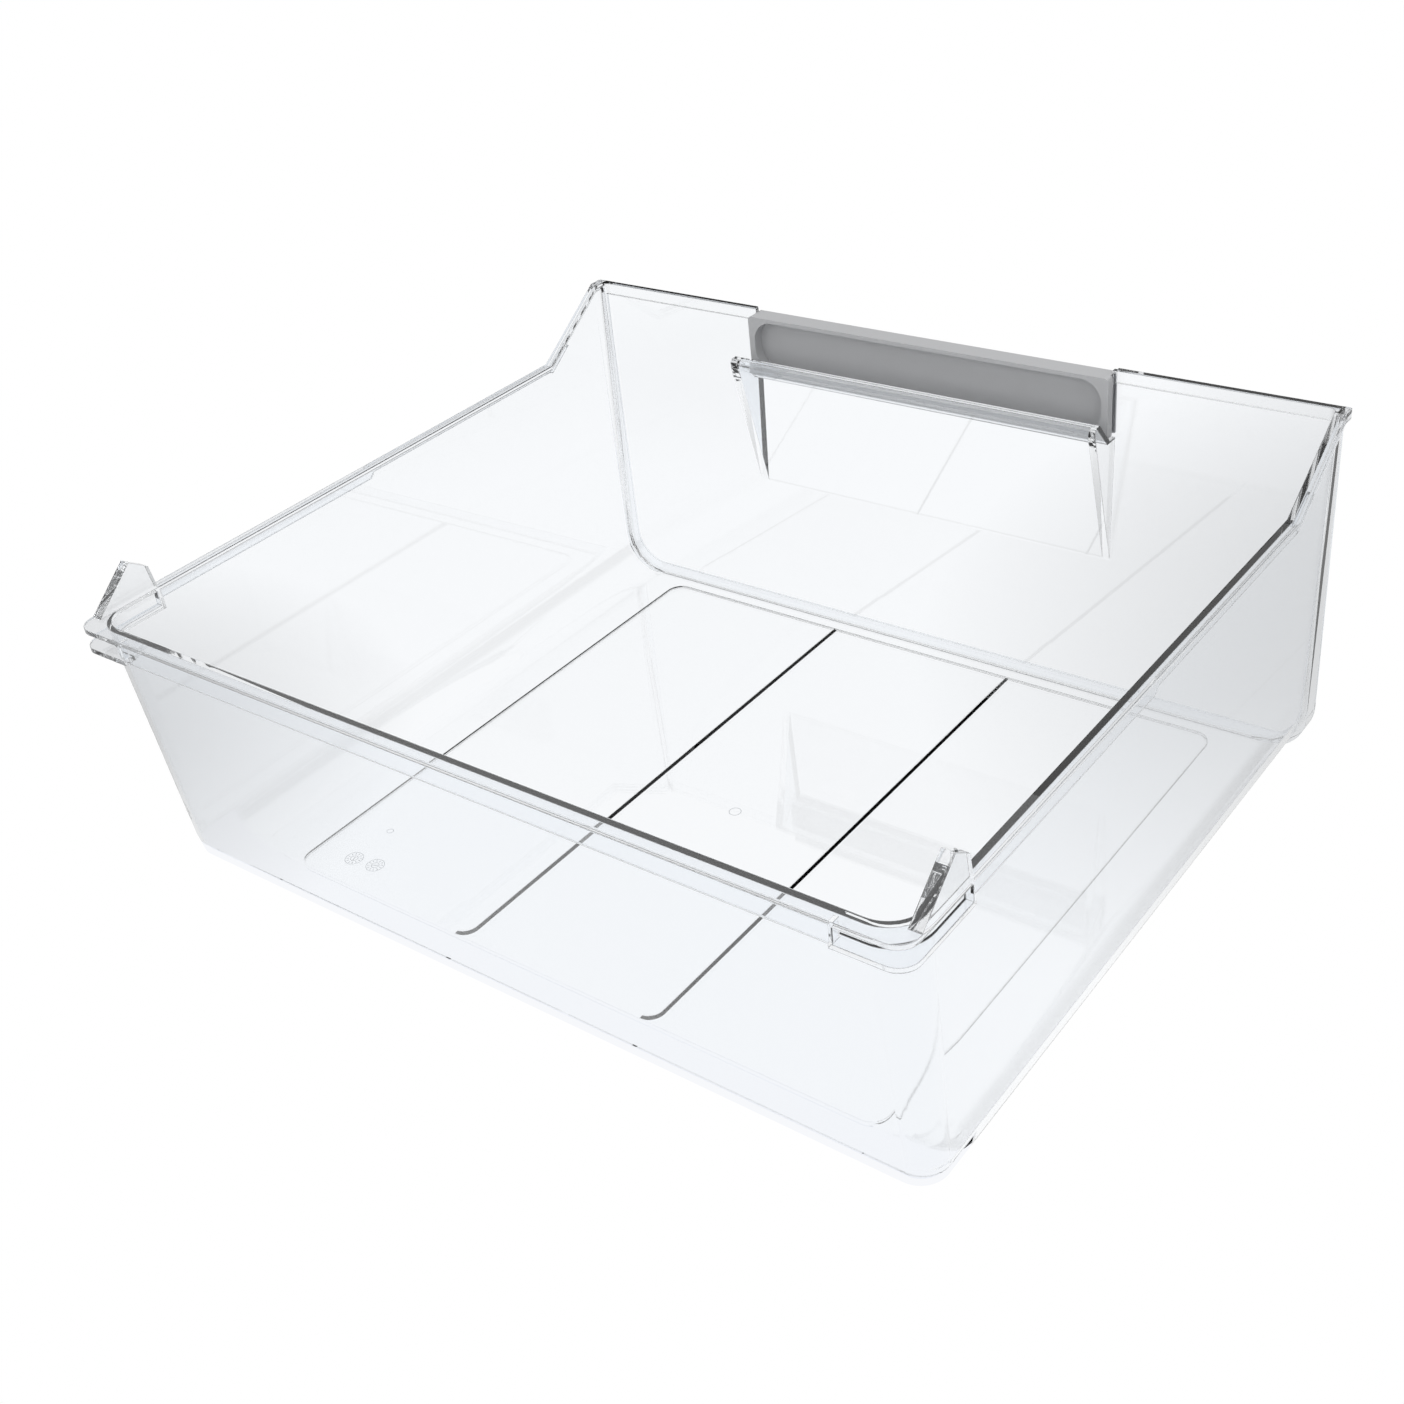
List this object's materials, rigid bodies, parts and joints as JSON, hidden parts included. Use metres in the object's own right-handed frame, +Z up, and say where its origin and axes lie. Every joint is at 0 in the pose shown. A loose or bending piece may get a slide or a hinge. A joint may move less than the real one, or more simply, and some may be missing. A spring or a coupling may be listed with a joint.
{
  "type": "freezer drawer",
  "caption": "Clear plastic freezer drawer with a tall front panel, a finger recess under a grey snap-in grip trim, and rear corner guides with stop fins.",
  "frame": {"origin": "centre of the footprint, at the height of the floor's lowest face", "axes": "+Z up, -Y towards the front panel, +X to the right seen from the front"},
  "size_m": [0.4572, 0.396, 0.19],
  "materials": {
    "clear_plastic": "clear, polished",
    "grey_plastic": "satin"
  },
  "bodies": {
    "root": {"drawer_tub": "clear_plastic", "handle_trim": "grey_plastic"}
  },
  "joints": []
}
